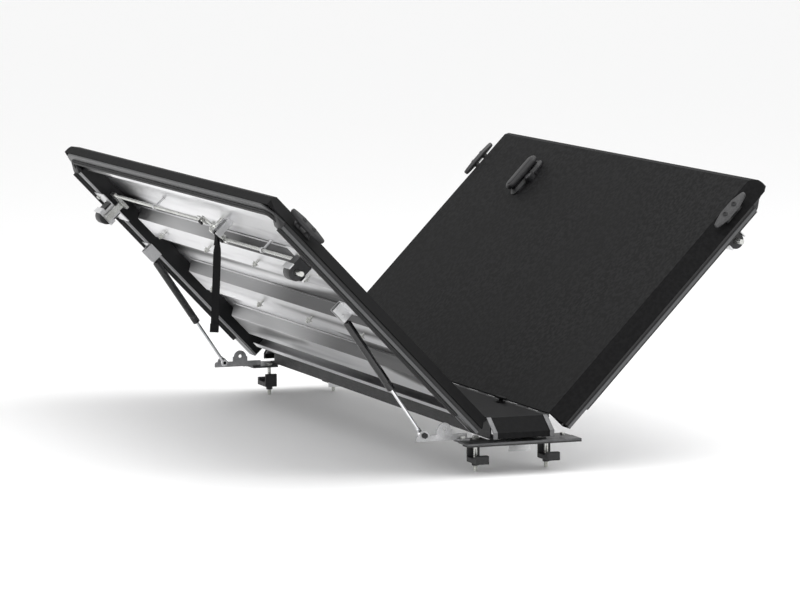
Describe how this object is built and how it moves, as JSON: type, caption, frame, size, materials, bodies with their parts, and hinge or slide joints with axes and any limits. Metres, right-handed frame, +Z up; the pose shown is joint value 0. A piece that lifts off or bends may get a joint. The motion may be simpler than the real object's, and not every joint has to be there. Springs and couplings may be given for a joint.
{
  "type": "folding truck bed cover",
  "caption": "Hard folding tonneau cover: fixed centre section clamped to the bed rails, with a rear and a front panel hinged up on gas struts, rod latches, locks and cleats.",
  "frame": {"origin": "centre of the cover in plan, at the tips of the clamp bolts, its lowest points", "axes": "+X to the vehicle's right, +Y towards the cab, +Z up"},
  "size_m": [1.6, 1.2598, 0.6661],
  "materials": {
    "coated_sheet": "black textured coat over aluminium sheet",
    "bare_aluminium": "bright mill finish",
    "satin_aluminium": "satin extrusion",
    "zinc_steel": "bright zinc plate",
    "bright_bracket": "brushed plate",
    "black_steel": "gloss black paint",
    "chrome_rod": "polished",
    "rubber": "matt",
    "black_plastic": "fine grain",
    "clamp_casting": "black anodised",
    "webbing": "woven"
  },
  "bodies": {
    "centre_section": {"centre_skin": "coated_sheet", "cross_channels": "satin_aluminium", "centre_end_trims": "satin_aluminium", "mounting_plates": "satin_aluminium", "plate_gaskets": "rubber", "mounting_bolts": "zinc_steel", "strut_rail_brackets": "bright_bracket", "strut_rail_studs": "zinc_steel", "front_strut_hangers": "bright_bracket", "centre_tie_downs": "coated_sheet", "rear_hinge_fixed_leaf": "black_steel", "front_hinge_fixed_leaf": "black_steel", "hinge_pins": "zinc_steel"},
    "rear_panel": {"rear_skin": "coated_sheet", "rear_side_rails": "satin_aluminium", "rear_edge_channel": "bare_aluminium", "rear_ribs": "bare_aluminium", "rear_panel_bolts": "zinc_steel", "rear_seals": "rubber", "rear_cleats": "coated_sheet", "rear_handle_base": "black_plastic", "rear_latch_brackets": "bright_bracket", "rear_latch_guides": "black_plastic", "rear_strut_brackets": "bright_bracket", "rear_hinge_moving_leaf": "black_steel"},
    "rear_handle_set": {"rear_handle": "black_plastic", "rear_rotor": "zinc_steel"},
    "rear_lock": {"rear_lock_cylinder": "chrome_rod"},
    "rear_bolt_left": {"rear_latch_rod_left": "zinc_steel"},
    "rear_strut_left": {"rear_strut_cylinder_left": "black_steel"},
    "rear_strut_rod_left": {"rear_strut_rod_left": "chrome_rod"},
    "rear_bolt_right": {"rear_latch_rod_right": "zinc_steel"},
    "rear_strut_right": {"rear_strut_cylinder_right": "black_steel"},
    "rear_strut_rod_right": {"rear_strut_rod_right": "chrome_rod"},
    "front_panel": {"front_skin": "coated_sheet", "front_side_rails": "satin_aluminium", "front_edge_channel": "bare_aluminium", "front_ribs": "bare_aluminium", "front_panel_bolts": "zinc_steel", "front_seals": "rubber", "front_cleats": "coated_sheet", "front_handle_base": "black_plastic", "front_latch_brackets": "bright_bracket", "front_latch_guides": "black_plastic", "front_strut_brackets": "bright_bracket", "front_hinge_moving_leaf": "black_steel"},
    "front_handle_set": {"front_handle": "black_plastic", "front_rotor": "zinc_steel"},
    "front_lock": {"front_lock_cylinder": "chrome_rod"},
    "front_bolt_left": {"front_latch_rod_left": "zinc_steel"},
    "front_strut_left": {"front_strut_cylinder_left": "black_steel"},
    "front_strut_rod_left": {"front_strut_rod_left": "chrome_rod"},
    "front_bolt_right": {"front_latch_rod_right": "zinc_steel"},
    "front_strut_right": {"front_strut_cylinder_right": "black_steel"},
    "front_strut_rod_right": {"front_strut_rod_right": "chrome_rod"},
    "pull_strap": {"pull_strap": "webbing"},
    "clamp_rear_left": {"clamp_jaw_rear_left": "clamp_casting"},
    "clamp_rear_right": {"clamp_jaw_rear_right": "clamp_casting"},
    "clamp_front_left": {"clamp_jaw_front_left": "clamp_casting"},
    "clamp_front_right": {"clamp_jaw_front_right": "clamp_casting"}
  },
  "joints": [
    {"name": "rear_panel_hinge", "type": "hinge", "parent": "centre_section", "child": "rear_panel", "pos_m": [0, -0.08, 0.125], "axis": [1, 0, 0], "range_deg": [0, 46], "stiffness_Nm_per_rad": 62, "springref_deg": -68.75},
    {"name": "rear_handle_turn", "type": "hinge", "parent": "rear_panel", "child": "rear_handle_set", "pos_m": [0.04, -0.46492, 0.55958], "axis": [0, 0.7193, 0.6947], "range_deg": [0, 60.1]},
    {"name": "rear_key_turn", "type": "hinge", "parent": "rear_panel", "child": "rear_lock", "pos_m": [0.07, -0.47067, 0.55403], "axis": [0, 0.7193, 0.6947], "range_deg": [0, 90]},
    {"name": "rear_bolt_slide_left", "type": "slide", "parent": "rear_panel", "child": "rear_bolt_left", "axis": [1, 0, 0], "range_m": [0, 0.0341]},
    {"name": "rear_bolt_slide_right", "type": "slide", "parent": "rear_panel", "child": "rear_bolt_right", "axis": [-1, 0, 0], "range_m": [0, 0.034]},
    {"name": "rear_strut_pivot_left", "type": "hinge", "parent": "rear_panel", "child": "rear_strut_left", "pos_m": [-0.7, -0.41712, 0.38053], "axis": [1, 0, 0], "range_deg": [0, 16.23]},
    {"name": "rear_strut_slide_left", "type": "slide", "parent": "rear_strut_left", "child": "rear_strut_rod_left", "axis": [0, 0.5641, -0.8257], "range_m": [-0.0697, 0]},
    {"name": "rear_strut_pivot_right", "type": "hinge", "parent": "rear_panel", "child": "rear_strut_right", "pos_m": [0.7, -0.41712, 0.38053], "axis": [1, 0, 0], "range_deg": [0, 16.23]},
    {"name": "rear_strut_slide_right", "type": "slide", "parent": "rear_strut_right", "child": "rear_strut_rod_right", "axis": [0, 0.5641, -0.8257], "range_m": [-0.0697, 0]},
    {"name": "front_panel_hinge", "type": "hinge", "parent": "centre_section", "child": "front_panel", "pos_m": [0, 0.08, 0.125], "axis": [-1, 0, 0], "range_deg": [0, 46], "stiffness_Nm_per_rad": 62, "springref_deg": -68.75},
    {"name": "front_handle_turn", "type": "hinge", "parent": "front_panel", "child": "front_handle_set", "pos_m": [-0.4, 0.49618, 0.59195], "axis": [0, 0.7193, -0.6947], "range_deg": [0, 60.1]},
    {"name": "front_key_turn", "type": "hinge", "parent": "front_panel", "child": "front_lock", "pos_m": [-0.37, 0.50193, 0.5864], "axis": [0, -0.7193, 0.6947], "range_deg": [0, 90]},
    {"name": "front_bolt_slide_left", "type": "slide", "parent": "front_panel", "child": "front_bolt_left", "axis": [1, 0, 0], "range_m": [0, 0.0341]},
    {"name": "front_bolt_slide_right", "type": "slide", "parent": "front_panel", "child": "front_bolt_right", "axis": [-1, 0, 0], "range_m": [0, 0.034]},
    {"name": "front_strut_pivot_left", "type": "hinge", "parent": "front_panel", "child": "front_strut_left", "pos_m": [-0.6, 0.31789, 0.31232], "axis": [-1, 0, 0], "range_deg": [-5.68, 0]},
    {"name": "front_strut_slide_left", "type": "slide", "parent": "front_strut_left", "child": "front_strut_rod_left", "axis": [0, -0.661, -0.7504], "range_m": [-0.05782, 0]},
    {"name": "front_strut_pivot_right", "type": "hinge", "parent": "front_panel", "child": "front_strut_right", "pos_m": [0.6, 0.31789, 0.31232], "axis": [-1, 0, 0], "range_deg": [-5.68, 0]},
    {"name": "front_strut_slide_right", "type": "slide", "parent": "front_strut_right", "child": "front_strut_rod_right", "axis": [0, -0.661, -0.7504], "range_m": [-0.05782, 0]},
    {"name": "strap_swing", "type": "hinge", "parent": "rear_panel", "child": "pull_strap", "pos_m": [0.112, -0.51795, 0.51949], "axis": [1, 0, 0], "range_deg": [-46, 0]},
    {"name": "clamp_slide_rear_left", "type": "slide", "parent": "centre_section", "child": "clamp_rear_left", "axis": [0, 0, 1], "range_m": [-0.01, 0.006]},
    {"name": "clamp_slide_rear_right", "type": "slide", "parent": "centre_section", "child": "clamp_rear_right", "axis": [0, 0, 1], "range_m": [-0.01, 0.006]},
    {"name": "clamp_slide_front_left", "type": "slide", "parent": "centre_section", "child": "clamp_front_left", "axis": [0, 0, 1], "range_m": [-0.01, 0.006]},
    {"name": "clamp_slide_front_right", "type": "slide", "parent": "centre_section", "child": "clamp_front_right", "axis": [0, 0, 1], "range_m": [-0.01, 0.006]}
  ],
  "couplings": [
    {"joint": "rear_bolt_slide_left", "follows": "rear_bolt_slide_right", "ratio": 1},
    {"joint": "rear_handle_turn", "follows": "rear_bolt_slide_right", "rad_per_m": 30.8},
    {"joint": "rear_strut_pivot_left", "follows": "rear_panel_hinge", "ratio": 0.35273},
    {"joint": "rear_strut_slide_left", "follows": "rear_panel_hinge", "m_per_rad": -0.086696},
    {"joint": "rear_strut_pivot_right", "follows": "rear_panel_hinge", "ratio": 0.35273},
    {"joint": "rear_strut_slide_right", "follows": "rear_panel_hinge", "m_per_rad": -0.086696},
    {"joint": "front_bolt_slide_left", "follows": "front_bolt_slide_right", "ratio": 1},
    {"joint": "front_handle_turn", "follows": "front_bolt_slide_right", "rad_per_m": 30.8},
    {"joint": "front_strut_pivot_left", "follows": "front_panel_hinge", "ratio": -0.12319},
    {"joint": "front_strut_slide_left", "follows": "front_panel_hinge", "m_per_rad": -0.0719},
    {"joint": "front_strut_pivot_right", "follows": "front_panel_hinge", "ratio": -0.12319},
    {"joint": "front_strut_slide_right", "follows": "front_panel_hinge", "m_per_rad": -0.0719},
    {"joint": "strap_swing", "follows": "rear_panel_hinge", "ratio": -1}
  ]
}
